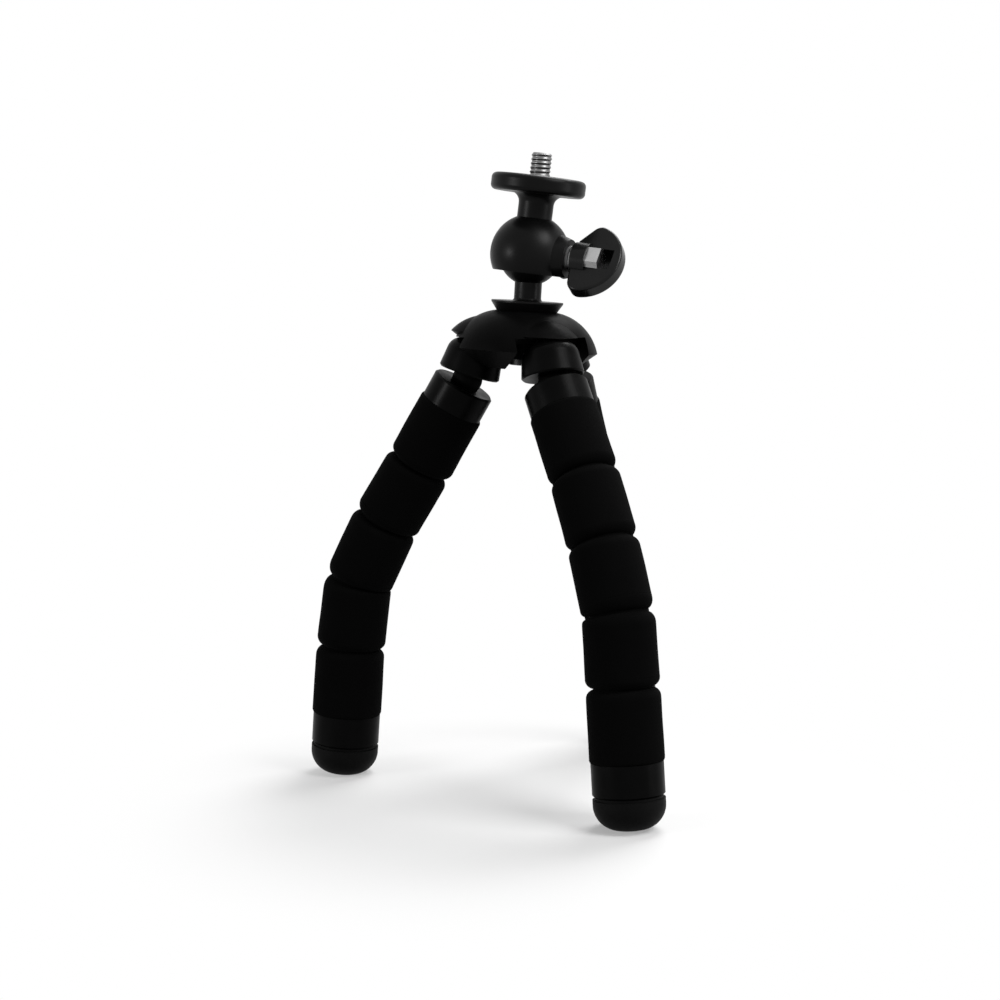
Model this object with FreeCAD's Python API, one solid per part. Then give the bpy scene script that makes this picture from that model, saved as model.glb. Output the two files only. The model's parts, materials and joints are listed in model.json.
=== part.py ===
import FreeCAD
import Part
import os
from math import acos, cos, degrees, radians, sin, sqrt, tan

# Mini tripod: three bendable foam legs under a domed hub, with a small ball head on top.
# Millimetres, +Z up, origin on the floor below the hub's axis.

V = FreeCAD.Vector
UP = V(0, 0, 1)

# Foam legs
foam_pitch = 21.5
foam_top_radius = 10.3
foam_bottom_radius = 11.0
foam_corner = 1.5
foam_spigot_radius = 8.2
foam_spigot_length = 3.4
groove_floor_radius = 8.0
groove_cup_gap = 0.3
max_bend = 20.0
bend_gap = 0.15

# Where each leg leaves the hub, the upright plane it bends in, how far its lower four segments lean,
# and how far the first leg's uppermost segment leans, which sets the neck's height
leg_names = ("left", "front", "back")
hub_azimuths = (175.0, -65.0, 55.0)
plane_azimuths = (164.9, -59.2, 60.6)
lower_leans = ((31.5, 25.9, 7.5, 3.9), (28.9, 23.5, 7.2, 6.5), (30.0, 28.2, 20.7, 10.9))
first_top_lean = 30.0

# Wire inside the foam
wire_radius = 2.0
wire_end_gap = 0.5
wire_bore_gap = 0.05

# Neck between knuckle and collar
neck_core_radius = 4.7
neck_cup_gap = 0.3
neck_half_gap = 1.9
neck_to_foam = 10.1
collar_radius = 9.85
collar_edge = 0.6

# Knuckle
knuckle_radius = 9.65
knuckle_top_radius = 8.3
knuckle_top = 6.2
knuckle_round = 4.6
knuckle_lean = 17.2
knuckle_to_neck = 6.0
knuckle_azimuth_radius = 17.0
knuckle_edge = 0.5
knuckle_peg_radius = 3.0
knuckle_peg_end = 11.0

# Foot
ferrule_radius = 10.7
ferrule_length = 9.9
foot_groove_depth = 0.6
foot_groove_width = 0.8
tip_length = 9.1
tip_round = 7.4
tip_spigot_radius = 5.0
tip_spigot_length = 3.4
sole_cut = 0.3

# Hub
hub_lean = 3.2
hub_shift = -1.1
hub_radius = 22.5
hub_rim_height = 3.5
hub_shoulder_radius = 18.7
hub_shoulder_height = 10.5
hub_top_radius = 9.4
hub_top_height = 15.4
web_foot_radius = 15.4
web_drop = 2.0
visor_centre = 11.8
visor_ball_radius = 14.7
visor_ball_drop = 1.1
visor_rim_height = 8.3
slot_half_width = 12.2
slot_arch_radius = 9.6
slot_ceiling = 7.7
well_radius = 14.2
post_radius = 8.2
post_bottom = 3.6
hub_base_radius = 5.3
hub_base_thickness = 3.0

# Stem and ball
ball_radius = 9.6
ball_height = 32.9
stem_radius = 4.2
stem_fillet = 1.0
stem_spigot_radius = 4.0
stem_spigot_length = 4.0
flange_radius = 11.1
flange_height = 3.1
flange_lip = 0.5
bolt_radius = 2.5
bolt_head_radius = 4.4
bolt_head_height = 1.8
bolt_reach = 3.0

# Head
head_lean = 6.9
housing_radius = 12.3
housing_cut = 5.8
neck_radius = 5.4
neck_flare = 3.0
platform_radius = 14.55
platform_bottom = 18.4
platform_thickness = 5.3
platform_edge = 1.6
quarter_inch_radius = 3.175
camera_screw_length = 7.2
camera_screw_chamfer = 0.5
camera_screw_recess = 0.6
camera_shank_radius = 2.6
camera_shank_depth = 6.4

# Clamp, measured along its axis from the ball's centre
clamp_azimuth = -25.0
boss_foot_radius = 7.6
boss_foot = 8.0
boss_radius = 5.9
boss_end = 13.4
insert_radius = 4.0
insert_start = 11.9
insert_end = 14.2
pad_radius = 2.45
pad_end = 11.2
clamp_screw_radius = 2.5
clamp_screw_start = 11.3
washer_radius = 3.8
washer_start = 14.4
washer_thickness = 0.9
knob_start = 15.5
knob_hub_radius = 5.4
knob_window_start = 20.2
knob_window_end = 28.0
knob_window_half = 3.4
knob_window_floor = 1.2
knob_end = 30.8
knob_arc_radius = 11.7
knob_upper_flare = 5.0
knob_lower_flare = 1.2
knob_corner = 3.4
knob_thickness = 5.0
knob_edge = 0.8
knob_turn = -30.0
bolt_block_length = 4.2
bolt_block_flats = 8.6

# Fits
running_gap = 0.05
seat_gap = 0.03


def turned(points):
    """The solid that a closed outline of (radius, height) points makes about the Z axis."""
    corners = [V(r, 0, z) for r, z in points]
    face = Part.Face(Part.makePolygon(corners + corners[:1]))
    return face.revolve(V(0, 0, 0), UP, 360)


def rod(radius, low, high):
    """A round bar about the Z axis between two heights."""
    return Part.makeCylinder(radius, high - low, V(0, 0, low))


def ball(radius, height=0.0):
    """A sphere centred on the Z axis."""
    return Part.makeSphere(radius, V(0, 0, height))


def rim_edges(shape, radius, height):
    """The full circles of this radius about the Z axis at this height."""
    found = []
    for edge in shape.Edges:
        if isinstance(edge.Curve, Part.Circle):
            centre = edge.Curve.Center
            near_axis = abs(centre.x) < 1e-6 and abs(centre.y) < 1e-6
            if near_axis and abs(centre.z - height) < 1e-4 and abs(edge.Curve.Radius - radius) < 1e-4:
                found.append(edge)
    return found


def rounded_rim(shape, fillet, radius, height):
    """The shape with its circular edge at this radius and height rounded."""
    return shape.makeFillet(fillet, rim_edges(shape, radius, height))


def leg_direction(lean, azimuth):
    """The way down a leg that leans outward in the vertical plane at this azimuth."""
    lean, azimuth = radians(lean), radians(azimuth)
    return V(sin(lean) * cos(azimuth), sin(lean) * sin(azimuth), -cos(lean))


def leg_place(origin, lean, azimuth):
    """Takes a piece made hanging down the Z axis to its place on a leaning leg."""
    turn = FreeCAD.Rotation(UP, azimuth)
    tip_out = FreeCAD.Rotation(V(0, -1, 0), lean)
    return FreeCAD.Placement(origin, turn.multiply(tip_out))


def placed(shape, place):
    """A copy of the shape at a placement."""
    copy = shape.copy()
    copy.Placement = place.multiply(copy.Placement)
    return copy


# Lengths and heights that follow
foot_length = ferrule_length + foot_groove_width + tip_length
wire_foot_depth = ferrule_length - tip_spigot_length - wire_end_gap
segment_count = len(lower_leans[0]) + 1
segment_lengths = [neck_to_foam + foam_pitch] + [foam_pitch] * (segment_count - 1)
tip_flat_radius = ferrule_radius - tip_round


def foot_height(lean):
    """How high the foot's top is when the foot leans and its tip rests on the floor."""
    lean = radians(lean)
    return (foot_length - tip_round) * cos(lean) + tip_flat_radius * sin(lean) + tip_round - sole_cut


def first_groove_height(lower):
    """How high a leg's uppermost groove is above the floor, for the leans of the segments below it."""
    drops = [length * cos(radians(lean)) for length, lean in zip(segment_lengths[1:], lower)]
    return foot_height(lower[-1]) + sum(drops)


def leg_leans(lower):
    """The leans of all segments: the uppermost one leans so that the foot reaches the floor."""
    rise = neck_height - first_groove_height(lower)
    return (degrees(acos(rise / segment_lengths[0])),) + lower


neck_height = first_groove_height(lower_leans[0]) + segment_lengths[0] * cos(radians(first_top_lean))
knuckle_height = neck_height + knuckle_to_neck * cos(radians(knuckle_lean))
hub_place = FreeCAD.Placement(V(hub_shift, 0, knuckle_height), FreeCAD.Rotation(V(0, 1, 0), hub_lean))
ball_centre = hub_place.multVec(V(0, 0, ball_height))
platform_top = platform_bottom + platform_thickness
head_place = FreeCAD.Placement(ball_centre, FreeCAD.Rotation(V(0, 1, 0), head_lean))
clamp_turn = FreeCAD.Rotation(UP, clamp_azimuth).multiply(FreeCAD.Rotation(V(0, 1, 0), 90))
clamp_place = head_place.multiply(FreeCAD.Placement(V(0, 0, 0), clamp_turn))
knob_place = clamp_place.multiply(FreeCAD.Placement(V(0, 0, 0), FreeCAD.Rotation(UP, knob_turn)))


legs = [
    (name, hub_azimuth, plane_azimuth, leg_leans(lower))
    for name, hub_azimuth, plane_azimuth, lower in zip(leg_names, hub_azimuths, plane_azimuths, lower_leans)
]


def knuckle_centre(hub_azimuth):
    """Where a leg's knuckle stands under the hub."""
    out = radians(hub_azimuth)
    return V(knuckle_azimuth_radius * cos(out), knuckle_azimuth_radius * sin(out), knuckle_height)


def leg_joints(hub_azimuth, plane_azimuth, leans):
    """The neck's centre, each groove's centre and the foot's top, down one leg."""
    points = [knuckle_centre(hub_azimuth) + leg_direction(knuckle_lean, hub_azimuth) * knuckle_to_neck]
    for length, lean in zip(segment_lengths, leans):
        points.append(points[-1] + leg_direction(lean, plane_azimuth) * length)
    return points


def foam_radius(along):
    """The foam's radius at a distance down the leg from the foam's top."""
    share = along / (foam_pitch * segment_count)
    return foam_top_radius + (foam_bottom_radius - foam_top_radius) * share


def groove_gap(radius):
    """Half the opening between two foam faces at a radius, so that they clear at the full bend."""
    return radius * tan(radians(max_bend / 2)) + bend_gap


def foam_segment(number):
    """One foam segment, hanging from its upper joint."""
    first, last = number == 0, number == segment_count - 1
    top = neck_to_foam if first else 0.0
    bore = wire_radius + wire_bore_gap
    wide_top, wide_bottom = foam_radius(number * foam_pitch), foam_radius((number + 1) * foam_pitch)
    low = -(top + foam_pitch)
    outline = []
    if first:
        outline += [(bore, foam_spigot_length - top), (foam_spigot_radius, foam_spigot_length - top)]
        outline += [(foam_spigot_radius, -top), (wide_top, -top)]
    else:
        outline += [(bore, -groove_gap(bore)), (wide_top, -groove_gap(wide_top))]
    upper = outline[-1]
    if last:
        lower = (wide_bottom, low)
        outline += [lower, (foam_spigot_radius, low)]
        outline += [(foam_spigot_radius, low - foam_spigot_length), (bore, low - foam_spigot_length)]
    else:
        lower = (wide_bottom, low + groove_gap(wide_bottom))
        outline += [lower, (bore, low + groove_gap(bore))]
    foam = turned(outline)
    if not first:
        foam = rounded_rim(foam, foam_corner, *upper)
        foam = foam.cut(ball(groove_floor_radius + groove_cup_gap))
    if not last:
        foam = rounded_rim(foam, foam_corner, *lower)
        foam = foam.fuse(ball(groove_floor_radius, low)).cut(rod(bore, low - groove_floor_radius, -top))
    return foam


def wire_segment(number):
    """The straight piece of wire inside one foam segment."""
    first, last = number == 0, number == segment_count - 1
    top = neck_core_radius + 2 * neck_cup_gap if first else groove_floor_radius + wire_end_gap
    reach = wire_foot_depth if last else groove_floor_radius - wire_end_gap
    return rod(wire_radius, -(segment_lengths[number] + reach), -top)


def collar():
    """The plastic cup on the foam's top end, hollowed above for the neck's core."""
    body = rod(collar_radius, -neck_to_foam, -neck_half_gap)
    body = body.makeChamfer(collar_edge, rim_edges(body, collar_radius, -neck_half_gap))
    socket = rod(foam_spigot_radius + seat_gap, -neck_to_foam, foam_spigot_length - neck_to_foam + seat_gap)
    body = body.cut(socket).cut(ball(neck_core_radius + neck_cup_gap))
    return body.cut(rod(wire_radius + wire_bore_gap, -neck_to_foam, 0))


def knuckle():
    """The rounded socket piece under the hub, made about its own centre."""
    bottom = neck_half_gap - knuckle_to_neck
    outline = [(0, bottom), (knuckle_radius, bottom), (knuckle_top_radius, knuckle_top), (0, knuckle_top)]
    body = rounded_rim(turned(outline), knuckle_round, knuckle_top_radius, knuckle_top)
    body = body.makeChamfer(knuckle_edge, rim_edges(body, knuckle_radius, bottom))
    body = body.fuse(rod(knuckle_peg_radius, 0, knuckle_peg_end)).removeSplitter()
    body = body.cut(ball(neck_core_radius + neck_cup_gap, -knuckle_to_neck))
    return body.cut(rod(wire_radius + wire_bore_gap, bottom, knuckle_peg_end))


def wire_anchor():
    """The wire's upper end, held in the knuckle and its peg."""
    start = neck_core_radius + 2 * neck_cup_gap - knuckle_to_neck
    return rod(wire_radius, start, knuckle_peg_end - seat_gap)


def ferrule():
    """The plastic band at the foam's lower end, from the foot's top down."""
    body = rod(ferrule_radius, -ferrule_length, 0)
    body = body.makeChamfer(foot_groove_depth, rim_edges(body, ferrule_radius, -ferrule_length))
    body = body.cut(rod(foam_spigot_radius + seat_gap, -foam_spigot_length - seat_gap, 0))
    spigot_end = tip_spigot_length - ferrule_length + seat_gap
    body = body.cut(rod(tip_spigot_radius + seat_gap, -ferrule_length, spigot_end))
    return body.cut(rod(wire_radius + wire_bore_gap, -wire_foot_depth - seat_gap, 0))


def foot_tip():
    """The rubber tip: a spigot, a groove ring and a rounded end."""
    groove_end = ferrule_length + foot_groove_width
    body = rod(ferrule_radius, -foot_length, -groove_end)
    body = rounded_rim(body, tip_round, ferrule_radius, -foot_length)
    ring = rod(ferrule_radius - foot_groove_depth, -groove_end, -ferrule_length)
    spigot = rod(tip_spigot_radius, -ferrule_length, tip_spigot_length - ferrule_length)
    return body.fuse(ring).fuse(spigot).removeSplitter()


def below_floor():
    """Everything under the floor, wide enough for all the feet."""
    reach = 4 * sum(segment_lengths)
    return Part.makeBox(2 * reach, 2 * reach, reach, V(-reach, -reach, -reach))


def knuckle_slot():
    """The arched slot that a knuckle stands in, made for a leg along +X about the knuckle's centre."""
    reach = hub_radius + slot_arch_radius
    corner = V(-slot_arch_radius, -slot_half_width, -reach)
    space = Part.makeBox(reach, 2 * slot_half_width, reach + slot_ceiling, corner)
    arch = Part.makeCylinder(slot_arch_radius, 2 * slot_half_width, V(0, -slot_half_width, 0), V(0, 1, 0))
    below = Part.makeBox(reach, 2 * slot_half_width, reach, corner)
    return space.common(arch.fuse(below))


def visor():
    """The brow over one leg, made for a leg along +X."""
    brow = Part.makeSphere(visor_ball_radius, V(visor_centre, 0, -visor_ball_drop))
    rim = sqrt(visor_ball_radius**2 - (visor_rim_height + visor_ball_drop) ** 2)
    under = Part.makeCone(0, rim, visor_rim_height, V(visor_centre, 0, 0))
    above = Part.makeCylinder(rim, hub_top_height, V(visor_centre, 0, visor_rim_height))
    return brow.common(under.fuse(above))


def hub_cap():
    """The domed hub with a visor and an arched slot over each leg, and a web between legs."""
    start = V(hub_top_radius, 0, hub_top_height)
    shoulder = V(hub_shoulder_radius, 0, hub_shoulder_height)
    rim = V(hub_radius, 0, hub_rim_height)
    web_foot = V(web_foot_radius, 0, -web_drop)
    corners = [rim, web_foot, V(0, 0, -web_drop), V(0, 0, hub_top_height), start]
    edges = [Part.Arc(start, shoulder, rim).toShape()]
    edges += [Part.makeLine(a, b) for a, b in zip(corners, corners[1:])]
    cap = Part.Face(Part.Wire(edges)).revolve(V(0, 0, 0), UP, 360)
    origin = V(0, 0, 0)
    turns = [FreeCAD.Placement(origin, FreeCAD.Rotation(UP, azimuth)) for azimuth in hub_azimuths]
    cap = cap.multiFuse([placed(visor(), turn) for turn in turns])
    well = rod(well_radius, -web_drop, post_bottom + web_drop)
    cap = cap.cut(well.cut(rod(post_radius, post_bottom, hub_radius)))
    cap = cap.cut(rod(hub_base_radius + seat_gap, 0, post_bottom))
    spigot_seat = hub_top_height - stem_spigot_length - running_gap
    cap = cap.cut(rod(stem_spigot_radius + running_gap, spigot_seat, hub_top_height))
    cap = placed(cap.cut(rod(bolt_radius + running_gap, 0, hub_top_height)), hub_place)
    for hub_azimuth in hub_azimuths:
        centre = knuckle_centre(hub_azimuth)
        slot = placed(knuckle_slot(), FreeCAD.Placement(centre, FreeCAD.Rotation(UP, hub_azimuth)))
        peg = rod(knuckle_peg_radius + seat_gap, 0, knuckle_peg_end + seat_gap)
        cap = cap.cut(slot).cut(placed(peg, leg_place(centre, knuckle_lean, hub_azimuth)))
    return cap


def hub_base():
    """The plate under the hub's post that the swivel bolt passes through."""
    plate = rod(hub_base_radius, post_bottom - hub_base_thickness, post_bottom)
    plate = plate.cut(rod(bolt_radius + running_gap, post_bottom - hub_base_thickness, post_bottom))
    return placed(plate, hub_place)


def stem_bolt():
    """The bolt that holds the stem down on the hub and lets it turn."""
    head_top = post_bottom - hub_base_thickness - running_gap
    head = rod(bolt_head_radius, head_top - bolt_head_height, head_top)
    shank = rod(bolt_radius, head_top, hub_top_height + bolt_reach)
    return placed(head.fuse(shank).removeSplitter(), hub_place)


def ball_stem():
    """The flange, the stem and the ball on top of it, in one piece."""
    seat = hub_top_height + running_gap
    top = hub_top_height + flange_height
    outline = [
        (0, hub_top_height - stem_spigot_length),
        (stem_spigot_radius, hub_top_height - stem_spigot_length),
        (stem_spigot_radius, seat),
        (hub_top_radius, seat),
        (flange_radius, top - flange_lip),
        (flange_radius, top),
        (stem_radius, top),
        (stem_radius, ball_height),
        (0, ball_height),
    ]
    stem = rounded_rim(turned(outline), stem_fillet, stem_radius, top)
    stem = stem.fuse(ball(ball_radius, ball_height)).removeSplitter()
    stem = stem.cut(rod(bolt_radius + seat_gap, 0, hub_top_height + bolt_reach + seat_gap))
    return placed(stem, hub_place)


def ball_housing():
    """The hollow ball housing with its neck above and its clamp boss at the side."""
    cavity_radius = ball_radius + running_gap
    shell = ball(housing_radius)
    turns = [radians(turn) for turn in range(0, 81, 10)]
    flare = [(1 - cos(turn), sin(turn)) for turn in turns]
    outline = [(0, 0)]
    outline += [(neck_radius + neck_flare * r, platform_bottom - neck_flare * (1 - z)) for r, z in flare]
    outline += [(outline[-1][0], platform_bottom), (0, platform_bottom)]
    outline.insert(1, (neck_radius, 0))
    to_clamp = FreeCAD.Placement(V(0, 0, 0), clamp_turn)
    boss = Part.makeCone(boss_foot_radius, boss_radius, boss_end - boss_foot, V(0, 0, boss_foot))
    boss = boss.fuse(rod(boss_foot_radius, 0, boss_foot))
    housing = shell.fuse(turned(outline)).fuse(placed(boss, to_clamp)).removeSplitter()
    housing = housing.cut(rod(housing_radius, -housing_radius, -housing_cut)).cut(ball(cavity_radius))
    screw_hole = rod(clamp_screw_radius + running_gap, 0, boss_end)
    insert_hole = rod(insert_radius + seat_gap, insert_start - seat_gap, boss_end)
    housing = housing.cut(placed(screw_hole.fuse(insert_hole), to_clamp))
    shank = rod(camera_shank_radius + seat_gap, platform_bottom - camera_shank_depth, platform_bottom)
    return placed(housing.cut(shank), head_place)


def platform():
    """The round camera platform, with a recess under the foot of the camera screw's thread."""
    disc = rod(platform_radius, platform_bottom, platform_top)
    disc = rounded_rim(disc, platform_edge, platform_radius, platform_bottom)
    disc = rounded_rim(disc, platform_edge, platform_radius, platform_top)
    recess = rod(quarter_inch_radius + running_gap, platform_top - camera_screw_recess, platform_top)
    disc = disc.cut(recess)
    return placed(disc.cut(rod(camera_shank_radius + seat_gap, platform_bottom, platform_top)), head_place)


def camera_screw():
    """The quarter inch camera screw on its thinner shank."""
    tip = platform_top + camera_screw_length
    thread = rod(quarter_inch_radius, platform_top, tip)
    thread = thread.makeChamfer(camera_screw_chamfer, rim_edges(thread, quarter_inch_radius, tip))
    shank = rod(camera_shank_radius, platform_bottom - camera_shank_depth + seat_gap, platform_top)
    return placed(thread.fuse(shank).removeSplitter(), head_place)


def friction_pad():
    """The pad that the clamp screw presses on the ball."""
    pad = rod(pad_radius, 0, pad_end).cut(ball(ball_radius + 2 * running_gap))
    return placed(pad, clamp_place)


def thread_insert():
    """The metal thread in the end of the housing's boss."""
    ring = rod(insert_radius, insert_start, insert_end)
    return placed(ring.cut(rod(clamp_screw_radius + running_gap, insert_start, insert_end)), clamp_place)


def clamp_washer():
    """The washer between the boss and the knob."""
    ring = rod(washer_radius, washer_start, washer_start + washer_thickness)
    bore = rod(clamp_screw_radius + running_gap, washer_start, washer_start + washer_thickness)
    return placed(ring.cut(bore), clamp_place)


def bolt_block(flats, length):
    """A hexagon prism across these flats, from the knob's pocket along the clamp's axis."""
    corner = flats / sqrt(3)
    turns = [radians(60 * n) for n in range(7)]
    points = [V(corner * cos(a), corner * sin(a), knob_window_start) for a in turns]
    return Part.Face(Part.makePolygon(points)).extrude(V(0, 0, length))


def clamp_screw():
    """The clamp screw with the hexagon block that drives it inside the knob's pocket."""
    screw = rod(clamp_screw_radius, clamp_screw_start, knob_window_start)
    return placed(screw.fuse(bolt_block(bolt_block_flats, bolt_block_length)).removeSplitter(), knob_place)


def clamp_knob():
    """The fan-shaped wing knob, in the plane of the clamp's axis, with a pocket round the block."""
    half = knob_thickness / 2
    centre = knob_end - knob_arc_radius
    disc = Part.makeCylinder(knob_arc_radius, knob_thickness, V(0, half, centre), V(0, -1, 0))
    upper_flare_end = knob_start + knob_upper_flare
    lower_flare_end = knob_start + knob_lower_flare
    wide = 2 * knob_arc_radius
    corners = [
        V(-knob_hub_radius, half, knob_start),
        V(-knob_arc_radius, half, upper_flare_end),
        V(-wide, half, upper_flare_end),
        V(-wide, half, knob_end),
        V(wide, half, knob_end),
        V(wide, half, lower_flare_end),
        V(knob_arc_radius, half, lower_flare_end),
        V(knob_hub_radius, half, knob_start),
    ]
    fan = Part.Face(Part.makePolygon(corners + corners[:1])).extrude(V(0, -knob_thickness, 0))
    blade = disc.common(fan)
    across = [edge for edge in blade.Edges if edge.BoundBox.YLength > half]
    tips = [edge for edge in across if abs(edge.CenterOfMass.x) > 2 * knob_hub_radius]
    blade = blade.makeFillet(knob_corner, tips)
    blade = blade.makeFillet(knob_edge, [e for e in blade.Edges if e.BoundBox.YLength < running_gap])
    hub = rod(knob_hub_radius, knob_start, knob_window_start)
    knob = blade.fuse(hub).removeSplitter()
    length = knob_window_end - knob_window_start
    corner = V(-knob_window_half, half - knob_window_floor - 2 * knob_thickness, knob_window_start)
    pocket = Part.makeBox(2 * knob_window_half, 2 * knob_thickness, length, corner)
    block_room = bolt_block(bolt_block_flats + 2 * running_gap, bolt_block_length + running_gap)
    knob = knob.cut(pocket).cut(block_room)
    knob = knob.cut(rod(clamp_screw_radius + seat_gap, knob_start, knob_window_start))
    return placed(knob, knob_place)


def leg_parts(name, hub_azimuth, plane_azimuth, leans):
    """The pieces of one leg by node name."""
    points = leg_joints(hub_azimuth, plane_azimuth, leans)
    knuckle_place = leg_place(knuckle_centre(hub_azimuth), knuckle_lean, hub_azimuth)
    places = [leg_place(p, lean, plane_azimuth) for p, lean in zip(points, leans)]
    foot_place = leg_place(points[-1], leans[-1], plane_azimuth)
    made = {
        f"{name}_knuckle": placed(knuckle(), knuckle_place),
        f"{name}_neck_core": Part.makeSphere(neck_core_radius, points[0]),
        f"{name}_collar": placed(collar(), places[0]),
        f"{name}_ferrule": placed(ferrule(), foot_place),
        f"{name}_tip": placed(foot_tip(), foot_place).cut(below_floor()),
    }
    for number, place in enumerate(places):
        made[f"{name}_foam_{number + 1}"] = placed(foam_segment(number), place)
        made[f"{name}_wire_{number + 1}"] = placed(wire_segment(number), place)
    return made


def wire_anchors():
    """The three upper wire ends in the knuckles."""
    turns = [leg_place(knuckle_centre(azimuth), knuckle_lean, azimuth) for azimuth in hub_azimuths]
    return Part.Compound([placed(wire_anchor(), turn) for turn in turns])


def all_parts():
    """Every piece of the tripod by node name."""
    made = {
        "hub_cap": hub_cap(),
        "hub_base": hub_base(),
        "wire_anchors": wire_anchors(),
        "stem_bolt": stem_bolt(),
        "ball_stem": ball_stem(),
        "ball_housing": ball_housing(),
        "platform": platform(),
        "camera_screw": camera_screw(),
        "friction_pad": friction_pad(),
        "thread_insert": thread_insert(),
        "clamp_washer": clamp_washer(),
        "clamp_screw": clamp_screw(),
        "clamp_knob": clamp_knob(),
    }
    for leg in legs:
        made.update(leg_parts(*leg))
    return made


os.makedirs("parts", exist_ok=True)
for node, shape in all_parts().items():
    assert shape.isValid() and shape.Solids, node
    shape.exportStep(f"parts/{node}.step")
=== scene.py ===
import json
from math import cos, pi, radians, sin

import bmesh
import bpy
from mathutils import Matrix, Quaternion, Vector, noise


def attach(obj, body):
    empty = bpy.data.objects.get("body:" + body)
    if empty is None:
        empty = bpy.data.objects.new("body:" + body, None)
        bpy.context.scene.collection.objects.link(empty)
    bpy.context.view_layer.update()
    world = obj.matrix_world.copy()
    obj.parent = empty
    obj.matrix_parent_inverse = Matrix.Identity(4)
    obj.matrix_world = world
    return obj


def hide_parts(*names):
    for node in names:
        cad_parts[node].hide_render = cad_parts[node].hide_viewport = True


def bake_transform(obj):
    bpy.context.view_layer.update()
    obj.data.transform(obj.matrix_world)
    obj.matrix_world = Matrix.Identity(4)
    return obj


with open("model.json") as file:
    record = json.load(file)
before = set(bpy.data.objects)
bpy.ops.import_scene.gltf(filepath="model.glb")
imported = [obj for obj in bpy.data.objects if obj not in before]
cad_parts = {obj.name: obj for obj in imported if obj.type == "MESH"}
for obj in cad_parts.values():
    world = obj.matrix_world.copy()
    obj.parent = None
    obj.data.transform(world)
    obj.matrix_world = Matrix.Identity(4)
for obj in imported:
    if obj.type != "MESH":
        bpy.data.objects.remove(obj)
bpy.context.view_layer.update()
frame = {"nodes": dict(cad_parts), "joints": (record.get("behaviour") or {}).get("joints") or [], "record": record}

# Mini tripod with foam legs. Metres, in the model's own frame; mm turns millimetres into metres.
mm = 0.001

# Camera, at the photograph's place; its lens and sensor are in millimetres, as Blender takes them
camera_distance = 641.2 * mm
camera_height = 166.4 * mm
camera_yaw = radians(-0.76)
camera_pitch = radians(6.8)
camera_lens = 74.52
camera_sensor = 36.0
camera_clip_start = 10 * mm

# Foam sleeve, measured down the leg from its top, which lies foam_from_neck under the neck's joint
foam_pitch = 21.5 * mm
foam_grooves = 4
foam_top_radius = 10.35 * mm
foam_growth = 0.7 * mm
foam_from_neck = 10.1 * mm
foam_end_round = 0.7 * mm
foam_end_cut = 0.3 * foam_end_round
foam_bore = 2.1 * mm
foam_bore_rings = 12
foam_hollow = 6.0 * mm
foam_hollow_reach = 9.0 * mm
groove_shoulder = 2.6 * mm
groove_mouth = 2.8 * mm
groove_seam = 3.3 * mm
groove_turn = 2.5 * mm
groove_arc = radians(84)
groove_arc_steps = 10
spigot_radius = 8.1 * mm
spigot_length = 3.3 * mm
foam_ring_step = 0.7 * mm
foam_sides = 96
foam_sharp_edge = radians(50)
foam_unevenness = 0.1 * mm
foam_unevenness_size = 9 * mm

# Camera screw: a quarter inch thread, twenty turns to the inch
thread_radius = 3.175 * mm
thread_pitch = 1.27 * mm
thread_depth = 0.3 * mm
thread_chamfer = 0.5 * mm
thread_weld = 0.002 * mm
thread_points_around = 73
thread_points_along = 160
thread_sharp_edge = radians(40)
shank_radius = 2.6 * mm
shank_length = 11.6 * mm
shank_sides = 48

# The thread's profile is a triangle wave times the gain, less the offset, held between nothing and one
thread_wave_gain = 1.35
thread_wave_offset = 0.15

nodes = frame["nodes"]
joints = {joint["name"]: joint for joint in frame["joints"]}
mounts = {mount["name"]: mount for mount in frame["record"]["mounts"]}
leg_names = ("left", "front", "back")


def joint_point(name):
    """The point a joint turns about."""
    return Vector(joints[name]["pos_m"])


def new_piece(name, mesh):
    """An object for a finished mesh, at the origin."""
    piece = bpy.data.objects.new(name, mesh)
    bpy.context.scene.collection.objects.link(piece)
    return piece


# Materials; the roughness runs from its first value at patch_low to its second at patch_high
grain_detail = 3.0
patch_detail = 2.0
patch_low = 0.35
patch_high = 0.65

# Places of a colour mix node's colour sockets, whose names repeat those of its other kinds
mix_first_colour = 6
mix_second_colour = 7
mix_result_colour = 2


def input_value(node, name, value):
    """Sets one socket of a node."""
    node.inputs[name].default_value = value


def grey(level):
    """A neutral colour."""
    return (level, level, level, 1.0)


def grain_group():
    """The fine grain of moulded and foamed surfaces, with slow patches over it."""
    group = bpy.data.node_groups.new("surface grain", "ShaderNodeTree")
    face = group.interface
    face.new_socket("Grain Scale", in_out="INPUT", socket_type="NodeSocketFloat")
    face.new_socket("Patch Scale", in_out="INPUT", socket_type="NodeSocketFloat")
    face.new_socket("Height", in_out="OUTPUT", socket_type="NodeSocketFloat")
    face.new_socket("Patches", in_out="OUTPUT", socket_type="NodeSocketFloat")
    enter = group.nodes.new("NodeGroupInput")
    leave = group.nodes.new("NodeGroupOutput")
    place = group.nodes.new("ShaderNodeTexCoord")
    fine = group.nodes.new("ShaderNodeTexNoise")
    input_value(fine, "Detail", grain_detail)
    slow = group.nodes.new("ShaderNodeTexNoise")
    input_value(slow, "Detail", patch_detail)
    link = group.links.new
    link(place.outputs["Object"], fine.inputs["Vector"])
    link(place.outputs["Object"], slow.inputs["Vector"])
    link(enter.outputs["Grain Scale"], fine.inputs["Scale"])
    link(enter.outputs["Patch Scale"], slow.inputs["Scale"])
    link(fine.outputs["Fac"], leave.inputs["Height"])
    link(slow.outputs["Fac"], leave.inputs["Patches"])
    return group


surface_grain = grain_group()


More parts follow.
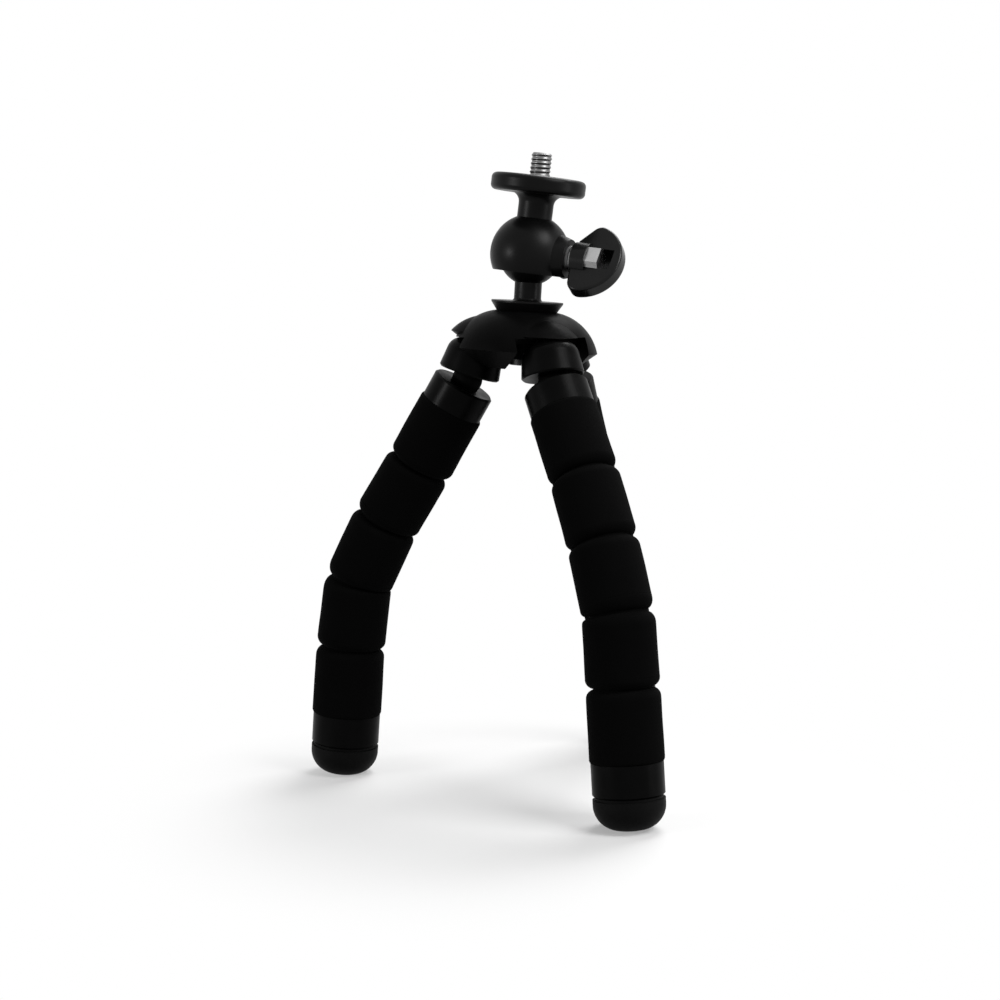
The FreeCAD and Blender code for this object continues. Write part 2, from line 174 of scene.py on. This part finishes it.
def grained_material(name, colours, roughness, grain, patch, depth, **settings):
    """A surface whose colour and roughness drift in patches between two values, under a fine grain.

    Further settings go to the shader's sockets of the same names.
    """
    material = bpy.data.materials.new(name)
    material.use_nodes = True
    tree = material.node_tree
    shader = tree.nodes["Principled BSDF"]
    for socket, value in settings.items():
        input_value(shader, socket.replace("_", " "), value)
    detail = tree.nodes.new("ShaderNodeGroup")
    detail.node_tree = surface_grain
    input_value(detail, "Grain Scale", 1 / grain)
    input_value(detail, "Patch Scale", 1 / patch)
    shade = tree.nodes.new("ShaderNodeMix")
    shade.data_type = "RGBA"
    shade.inputs[mix_first_colour].default_value = grey(colours[0])
    shade.inputs[mix_second_colour].default_value = grey(colours[1])
    gloss = tree.nodes.new("ShaderNodeMapRange")
    input_value(gloss, "From Min", patch_low)
    input_value(gloss, "From Max", patch_high)
    input_value(gloss, "To Min", roughness[0])
    input_value(gloss, "To Max", roughness[1])
    bump = tree.nodes.new("ShaderNodeBump")
    input_value(bump, "Strength", 1.0)
    input_value(bump, "Distance", depth)
    link = tree.links.new
    link(detail.outputs["Patches"], shade.inputs["Factor"])
    link(shade.outputs[mix_result_colour], shader.inputs["Base Color"])
    link(detail.outputs["Patches"], gloss.inputs["Value"])
    link(gloss.outputs["Result"], shader.inputs["Roughness"])
    link(detail.outputs["Height"], bump.inputs["Height"])
    link(bump.outputs["Normal"], shader.inputs["Normal"])
    return material


head_plastic = grained_material(
    "satin black plastic", colours=(0.002, 0.004), roughness=(0.32, 0.42),
    grain=0.35 * mm, patch=7 * mm, depth=0.006 * mm, Specular_IOR_Level=0.075,
)
# Painted shade: the hub's copy of the black plastic is darker and less glossy than the head's, for the shade the
# hub lies in
shaded_hub_plastic = grained_material(
    "black plastic darkened as painted shade", colours=(0.001, 0.002), roughness=(0.38, 0.5),
    grain=0.35 * mm, patch=7 * mm, depth=0.006 * mm, Specular_IOR_Level=0.02,
)
leg_plastic = grained_material(
    "smooth black plastic", colours=(0.001, 0.002), roughness=(0.28, 0.38),
    grain=0.5 * mm, patch=6 * mm, depth=0.004 * mm, Specular_IOR_Level=0.028,
)
knob_plastic = grained_material(
    "knob plastic", colours=(0.004, 0.007), roughness=(0.2, 0.3),
    grain=0.4 * mm, patch=5 * mm, depth=0.004 * mm, Specular_IOR_Level=0.13,
)
foot_rubber = grained_material(
    "foot rubber", colours=(0.0015, 0.003), roughness=(0.5, 0.62),
    grain=0.3 * mm, patch=5 * mm, depth=0.01 * mm, Specular_IOR_Level=0.04,
)
core_rubber = grained_material(
    "core rubber", colours=(0.001, 0.002), roughness=(0.6, 0.75),
    grain=0.3 * mm, patch=4 * mm, depth=0.01 * mm, Specular_IOR_Level=0.03,
)
foam_black = grained_material(
    "black foam", colours=(0.001, 0.0028), roughness=(0.9, 1.0),
    grain=0.45 * mm, patch=4 * mm, depth=0.06 * mm, Specular_IOR_Level=0.02,
)
bright_steel = grained_material(
    "bright steel", colours=(0.34, 0.46), roughness=(0.24, 0.36),
    grain=0.2 * mm, patch=3 * mm, depth=0.002 * mm, Metallic=1.0,
)
thread_steel = grained_material(
    "thread steel", colours=(0.12, 0.2), roughness=(0.32, 0.44),
    grain=0.2 * mm, patch=2 * mm, depth=0.002 * mm, Metallic=1.0,
)
dark_steel = grained_material(
    "blackened steel", colours=(0.02, 0.03), roughness=(0.4, 0.5),
    grain=0.2 * mm, patch=3 * mm, depth=0.003 * mm, Metallic=1.0,
)
plain_steel = grained_material(
    "plain steel", colours=(0.2, 0.28), roughness=(0.34, 0.46),
    grain=0.2 * mm, patch=3 * mm, depth=0.003 * mm, Metallic=1.0,
)
soft_wire = grained_material(
    "aluminium wire", colours=(0.6, 0.7), roughness=(0.3, 0.45),
    grain=0.2 * mm, patch=3 * mm, depth=0.003 * mm, Metallic=1.0,
)
pale_pad = grained_material(
    "pressure pad", colours=(0.5, 0.6), roughness=(0.45, 0.55),
    grain=0.3 * mm, patch=3 * mm, depth=0.004 * mm, Specular_IOR_Level=0.4,
)

node_materials = {
    "hub_cap": shaded_hub_plastic,
    "hub_base": shaded_hub_plastic,
    "ball_stem": head_plastic,
    "ball_housing": head_plastic,
    "platform": head_plastic,
    "wire_anchors": soft_wire,
    "stem_bolt": dark_steel,
    "thread_insert": plain_steel,
    "clamp_washer": plain_steel,
    "clamp_screw": bright_steel,
    "camera_screw": thread_steel,
    "clamp_knob": knob_plastic,
    "friction_pad": pale_pad,
}
leg_materials = {
    "knuckle": leg_plastic,
    "collar": leg_plastic,
    "neck_core": core_rubber,
    "ferrule": leg_plastic,
    "tip": foot_rubber,
    "foam": foam_black,
    "wire": soft_wire,
}
for leg in leg_names:
    for node in nodes:
        for part, material in leg_materials.items():
            if node.startswith(f"{leg}_{part}"):
                node_materials[node] = material
for node, material in node_materials.items():
    mesh = nodes[node].data
    mesh.materials.clear()
    mesh.materials.append(material)


# Foam sleeves


def foam_outside(along):
    """The sleeve's radius between grooves, at a distance down from its top."""
    return foam_top_radius + foam_growth * along / ((foam_grooves + 1) * foam_pitch)


def groove_profile(groove):
    """The rounded shoulders and the bottom of one groove, as distances down the leg and radii."""
    points = []
    for side in (-1, 1):
        arc = []
        for step in range(groove_arc_steps + 1):
            turn = groove_arc * step / groove_arc_steps
            along = groove + side * (groove_mouth - groove_shoulder * sin(turn))
            arc.append((along, foam_outside(groove) - groove_shoulder * (1 - cos(turn))))
        points += arc if side < 0 else arc[::-1]
    return points


def straight_profile(start, end):
    """Points down a plain stretch of the sleeve."""
    count = max(1, round((end - start) / foam_ring_step))
    stations = [start + (end - start) * step / count for step in range(count + 1)]
    return [(along, foam_outside(along)) for along in stations]


def bore_radius(along, grooves):
    """The hole through the sleeve: close round the wire, and wide where a groove lets it move."""
    near = min(abs(along - groove) for groove in grooves)
    return foam_hollow if near < foam_hollow_reach else foam_bore


def segment_profile(number):
    """The closed outline of one foam segment, with the groove at its upper end."""
    grooves = [foam_pitch * (step + 1) for step in range(foam_grooves)]
    first, last = number == 0, number == foam_grooves
    start = 0.0 if first else grooves[number - 1] - groove_seam
    end = foam_pitch * (foam_grooves + 1) if last else grooves[number] - groove_seam
    outline = []
    if first:
        outline += [(-spigot_length, spigot_radius), (0.0, spigot_radius)]
        outline += [(0.0, foam_outside(0) - foam_end_round)]
        outline += [(foam_end_cut, foam_outside(0) - foam_end_cut)]
        outline += straight_profile(foam_end_round, end)
    else:
        groove = grooves[number - 1]
        outline += [(start, foam_outside(start))]
        outline += groove_profile(groove)
        plain_end = end - foam_end_round if last else end
        outline += straight_profile(groove + groove_mouth + foam_ring_step, plain_end)
    if last:
        outline += [(end - foam_end_cut, foam_outside(end) - foam_end_cut)]
        outline += [(end, foam_outside(end) - foam_end_round), (end, spigot_radius)]
        outline += [(end + spigot_length, spigot_radius)]
    low, high = outline[0][0], outline[-1][0]
    stations = [high + (low - high) * step / foam_bore_rings for step in range(foam_bore_rings + 1)]
    outline += [(along, bore_radius(along, grooves)) for along in stations]
    return outline


def turned_tube(outline, sides):
    """A closed tube about the Z axis, hanging down from the origin."""
    shape = bmesh.new()
    rings = []
    for along, radius in outline:
        ring = []
        for side in range(sides):
            turn = 2 * pi * side / sides
            ring.append(shape.verts.new((radius * cos(turn), radius * sin(turn), -along)))
        rings.append(ring)
    for here, after in zip(rings, rings[1:] + rings[:1]):
        for side in range(sides):
            beside = (side + 1) % sides
            shape.faces.new((here[side], here[beside], after[beside], after[side]))
    bmesh.ops.recalc_face_normals(shape, faces=shape.faces)
    return shape


def smooth_share(value):
    """Rises smoothly from nothing to one."""
    value = min(1.0, max(0.0, value))
    return value * value * (3 - 2 * value)


def foam_segment(leg, number, pivots, ways):
    """One foam segment in its place on a leg, bent in its groove as the leg is."""
    shape = turned_tube(segment_profile(number), foam_sides)
    top = foam_from_neck if number == 0 else -number * foam_pitch
    upper = ways[max(0, number - 1)]
    lower = ways[number]
    pivot = pivots[number]
    aim = Vector((0, 0, -1)).rotation_difference(upper)
    bend = upper.rotation_difference(lower)
    straight = Quaternion()
    for vertex in shape.verts:
        spot = vertex.co.copy()
        spot.z -= top
        spot = aim @ spot
        if number:
            along = spot.dot(upper)
            share = smooth_share((along + groove_turn) / (2 * groove_turn))
            spot = straight.slerp(bend, share) @ spot
        vertex.co = pivot + spot
    for vertex in shape.verts:
        sway = noise.noise(vertex.co / foam_unevenness_size)
        vertex.co += vertex.normal * sway * foam_unevenness
    mesh = bpy.data.meshes.new(f"{leg}_sleeve_{number + 1}")
    for face in shape.faces:
        face.smooth = True
    for edge in shape.edges:
        if edge.calc_face_angle(0) > foam_sharp_edge:
            edge.smooth = False
    shape.to_mesh(mesh)
    shape.free()
    mesh.materials.append(foam_black)
    return new_piece(f"{leg}_sleeve_{number + 1}", mesh)


def wire_way(leg):
    """The direction of a leg's lowest segment, from the wire inside it."""
    mesh = nodes[f"{leg}_wire_{foam_grooves + 1}"].data
    middle = sum((vertex.co for vertex in mesh.vertices), Vector()) / len(mesh.vertices)
    return (middle - joint_point(f"{leg}_bend_{foam_grooves}")).normalized()


def foam_sleeve(leg):
    """The whole foam sleeve of one leg, a piece for each segment."""
    pivots = [joint_point(f"{leg}_spread")]
    pivots += [joint_point(f"{leg}_bend_{number}") for number in range(1, foam_grooves + 1)]
    ways = [(after - here).normalized() for here, after in zip(pivots, pivots[1:])]
    ways.append(wire_way(leg))
    for number in range(foam_grooves + 1):
        piece = foam_segment(leg, number, pivots, ways)
        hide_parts(f"{leg}_foam_{number + 1}")
        if number:
            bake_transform(piece)
        else:
            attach(piece, f"{leg}_leg_1")


for leg in leg_names:
    foam_sleeve(leg)


# Camera screw


def thread_tree():
    """Geometry nodes that roll a flat grid into a threaded bar along Z."""
    tree = bpy.data.node_groups.new("threaded bar", "GeometryNodeTree")
    face = tree.interface
    for label in ("Radius", "Pitch", "Depth", "Length", "Chamfer"):
        face.new_socket(label, in_out="INPUT", socket_type="NodeSocketFloat")
    face.new_socket("Around", in_out="INPUT", socket_type="NodeSocketInt")
    face.new_socket("Along", in_out="INPUT", socket_type="NodeSocketInt")
    face.new_socket("Finish", in_out="INPUT", socket_type="NodeSocketMaterial")
    face.new_socket("Geometry", in_out="OUTPUT", socket_type="NodeSocketGeometry")
    enter = tree.nodes.new("NodeGroupInput")
    leave = tree.nodes.new("NodeGroupOutput")
    link = tree.links.new

    def work(operation, *values):
        """One math step on sockets or plain values."""
        step = tree.nodes.new("ShaderNodeMath")
        step.operation = operation
        for socket, value in zip(step.inputs, values):
            if isinstance(value, (int, float)):
                socket.default_value = value
            else:
                link(value, socket)
        return step.outputs[0]

    grid = tree.nodes.new("GeometryNodeMeshGrid")
    link(enter.outputs["Around"], grid.inputs["Vertices X"])
    link(enter.outputs["Along"], grid.inputs["Vertices Y"])
    place = tree.nodes.new("GeometryNodeInputPosition")
    split = tree.nodes.new("ShaderNodeSeparateXYZ")
    link(place.outputs[0], split.inputs[0])
    # The grid spans one unit about its middle, so half a unit makes both ways count from nothing to one
    around = work("ADD", split.outputs["X"], 0.5)
    along = work("ADD", split.outputs["Y"], 0.5)
    height = work("MULTIPLY", along, enter.outputs["Length"])
    turns = work("SUBTRACT", work("DIVIDE", height, enter.outputs["Pitch"]), around)
    # One where a turn starts, in the valley, and nothing half a turn on, at the crest
    wave = work("MULTIPLY", work("ABSOLUTE", work("SUBTRACT", work("FRACT", turns), 0.5)), 2.0)
    flat = tree.nodes.new("ShaderNodeClamp")
    steep = work("MULTIPLY", wave, thread_wave_gain)
    link(work("SUBTRACT", steep, thread_wave_offset), flat.inputs["Value"])
    valley = work("MULTIPLY", flat.outputs[0], enter.outputs["Depth"])
    crest = work("SUBTRACT", enter.outputs["Radius"], valley)
    left_over = work("SUBTRACT", enter.outputs["Length"], height)
    slope = work("SUBTRACT", enter.outputs["Radius"], work("SUBTRACT", enter.outputs["Chamfer"], left_over))
    radius = work("MINIMUM", crest, slope)
    angle = work("MULTIPLY", around, 2 * pi)
    join = tree.nodes.new("ShaderNodeCombineXYZ")
    link(work("MULTIPLY", radius, work("COSINE", angle)), join.inputs["X"])
    link(work("MULTIPLY", radius, work("SINE", angle)), join.inputs["Y"])
    link(height, join.inputs["Z"])
    move = tree.nodes.new("GeometryNodeSetPosition")
    link(grid.outputs["Mesh"], move.inputs["Geometry"])
    link(join.outputs[0], move.inputs["Position"])
    weld = tree.nodes.new("GeometryNodeMergeByDistance")
    input_value(weld, "Distance", thread_weld)
    realize = tree.nodes.new("GeometryNodeRealizeInstances")
    finish = tree.nodes.new("GeometryNodeSetMaterial")
    link(move.outputs[0], weld.inputs["Geometry"])
    link(weld.outputs[0], realize.inputs[0])
    link(realize.outputs[0], finish.inputs["Geometry"])
    link(enter.outputs["Finish"], finish.inputs["Material"])
    link(finish.outputs[0], leave.inputs["Geometry"])
    return tree


def mesh_from_tree(tree, values):
    """The mesh that a geometry node tree makes with these named inputs."""
    holder = new_piece("holder", bpy.data.meshes.new("holder"))
    modifier = holder.modifiers.new("tree", "NODES")
    modifier.node_group = tree
    for item in tree.interface.items_tree:
        if item.name in values:
            modifier[item.identifier] = values[item.name]
    bpy.context.view_layer.update()
    seen = holder.evaluated_get(bpy.context.evaluated_depsgraph_get())
    mesh = bpy.data.meshes.new_from_object(seen)
    bpy.data.objects.remove(holder)
    return mesh


def camera_screw():
    """The quarter inch camera screw, on the head's axis."""
    mount = mounts["camera_thread"]
    axis = Vector(mount["axis"]).normalized()
    length = mount["dims"]["length_mm"] * mm
    foot = Vector(mount["pos_m"]) - axis * (length / 2)
    values = {
        "Radius": thread_radius,
        "Pitch": thread_pitch,
        "Depth": thread_depth,
        "Length": length + thread_chamfer,
        "Chamfer": thread_chamfer,
        "Around": thread_points_around,
        "Along": thread_points_along,
        "Finish": thread_steel,
    }
    mesh = mesh_from_tree(thread_tree(), values)
    shape = bmesh.new()
    shape.from_mesh(mesh)
    bmesh.ops.holes_fill(shape, edges=shape.edges)
    lift = Matrix.Translation((0, 0, -shank_length / 2))
    bmesh.ops.create_cone(
        shape, cap_ends=True, segments=shank_sides, radius1=shank_radius, radius2=shank_radius,
        depth=shank_length, matrix=lift,
    )
    bmesh.ops.recalc_face_normals(shape, faces=shape.faces)
    place = Matrix.Translation(foot) @ Vector((0, 0, 1)).rotation_difference(axis).to_matrix().to_4x4()
    shape.transform(place)
    for edge in shape.edges:
        edge.smooth = edge.calc_face_angle(0) < thread_sharp_edge
    for face in shape.faces:
        face.smooth = True
    shape.to_mesh(mesh)
    shape.free()
    piece = new_piece("camera_thread", mesh)
    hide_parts("camera_screw")
    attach(piece, "head")


camera_screw()


# Stage, light and camera

# Near the object the floor's white is part lamp light and part glow, so that its shadow stays light
floor_reach = 6.0
floor_colour = 0.4
floor_glow = 0.32
floor_fade_middle = (-5 * mm, -30 * mm, 0)
floor_fade_start = 50 * mm
floor_fade_end = 130 * mm
world_light = 0.2

# Lamps, placed and sized in metres, which all turn towards one point
lamp_aim = (0, 0, 120 * mm)
lamps = {
    "key lamp": {"place": (0.62, -0.42, 0.85), "width": 0.5, "height": 0.5, "watts": 11.0},
    "back lamp": {"place": (0.27, 0.5, 0.98), "width": 0.55, "height": 0.55, "watts": 12.5},
    "low right lamp": {"place": (1.0, -0.29, 0.2), "width": 0.15, "height": 0.3, "watts": 2.0},
    "left lamp": {"place": (-0.9, -0.45, 0.25), "width": 0.2, "height": 0.2, "watts": 4.0},
    "top lamp": {"place": (0.0, 0.1, 1.2), "width": 0.9, "height": 0.9, "watts": 1.0},
}


def white_where_seen(tree, lit, seen):
    """The second value for camera, glossy and transmission rays, and the first for those that light."""
    path = tree.nodes.new("ShaderNodeLightPath")
    first = tree.nodes.new("ShaderNodeMath")
    first.operation = "MAXIMUM"
    second = tree.nodes.new("ShaderNodeMath")
    second.operation = "MAXIMUM"
    level = tree.nodes.new("ShaderNodeMapRange")
    input_value(level, "To Min", lit)
    input_value(level, "To Max", seen)
    link = tree.links.new
    link(path.outputs["Is Camera Ray"], first.inputs[0])
    link(path.outputs["Is Glossy Ray"], first.inputs[1])
    link(first.outputs[0], second.inputs[0])
    link(path.outputs["Is Transmission Ray"], second.inputs[1])
    link(second.outputs[0], level.inputs["Value"])
    return level.outputs["Result"]


def white_world():
    """A white surround that lights the object softly."""
    world = bpy.data.worlds.new("white surround")
    world.use_nodes = True
    tree = world.node_tree
    background = tree.nodes["Background"]
    input_value(background, "Color", grey(1.0))
    tree.links.new(white_where_seen(tree, world_light, 1.0), background.inputs["Strength"])
    bpy.context.scene.world = world


def pale_floor():
    """A wide pale floor that keeps the object's soft shadow and fades to plain white further out."""
    mesh = bpy.data.meshes.new("floor")
    signs = ((-1, -1), (1, -1), (1, 1), (-1, 1))
    corners = [(across * floor_reach, back * floor_reach, 0) for across, back in signs]
    mesh.from_pydata(corners, [], [(0, 1, 2, 3)])
    floor = new_piece("floor", mesh)
    material = bpy.data.materials.new("pale floor")
    material.use_nodes = True
    tree = material.node_tree
    shader = tree.nodes["Principled BSDF"]
    input_value(shader, "Roughness", 1.0)
    input_value(shader, "Specular IOR Level", 0.0)
    input_value(shader, "Emission Color", grey(1.0))
    place = tree.nodes.new("ShaderNodeTexCoord")
    reach = tree.nodes.new("ShaderNodeVectorMath")
    reach.operation = "DISTANCE"
    reach.inputs[1].default_value = floor_fade_middle
    link = tree.links.new
    link(place.outputs["Object"], reach.inputs[0])

    def fading(near, far):
        """A value that changes from near to far with the distance from the object."""
        fade = tree.nodes.new("ShaderNodeMapRange")
        fade.interpolation_type = "SMOOTHSTEP"
        input_value(fade, "From Min", floor_fade_start)
        input_value(fade, "From Max", floor_fade_end)
        input_value(fade, "To Min", near)
        input_value(fade, "To Max", far)
        link(reach.outputs["Value"], fade.inputs["Value"])
        return fade.outputs["Result"]

    seen = tree.nodes.new("ShaderNodeMath")
    seen.operation = "MULTIPLY"
    link(white_where_seen(tree, 0.0, 1.0), seen.inputs[0])
    link(fading(floor_glow, 1.0), seen.inputs[1])
    link(fading(floor_colour, 0.0), shader.inputs["Base Color"])
    link(seen.outputs[0], shader.inputs["Emission Strength"])
    mesh.materials.append(material)


def soft_lamp(name, place, width, height, watts):
    """A rectangular studio lamp turned towards the object."""
    lamp = bpy.data.lights.new(name, "AREA")
    lamp.shape = "RECTANGLE"
    lamp.size = width
    lamp.size_y = height
    lamp.energy = watts
    holder = bpy.data.objects.new(name, lamp)
    bpy.context.scene.collection.objects.link(holder)
    holder.location = place
    holder.rotation_euler = (Vector(lamp_aim) - Vector(place)).to_track_quat("-Z", "Y").to_euler()


def main_camera():
    """The camera at the photograph's place."""
    lens = bpy.data.cameras.new("camera")
    lens.lens = camera_lens
    lens.sensor_width = camera_sensor
    lens.clip_start = camera_clip_start
    holder = bpy.data.objects.new("camera", lens)
    bpy.context.scene.collection.objects.link(holder)
    holder.location = (0, -camera_distance, camera_height)
    holder.rotation_euler = (pi / 2 - camera_pitch, 0, -camera_yaw)
    bpy.context.scene.camera = holder


white_world()
pale_floor()
for lamp_name, lamp_values in lamps.items():
    soft_lamp(lamp_name, **lamp_values)
main_camera()
bpy.context.scene.view_settings.view_transform = "Standard"
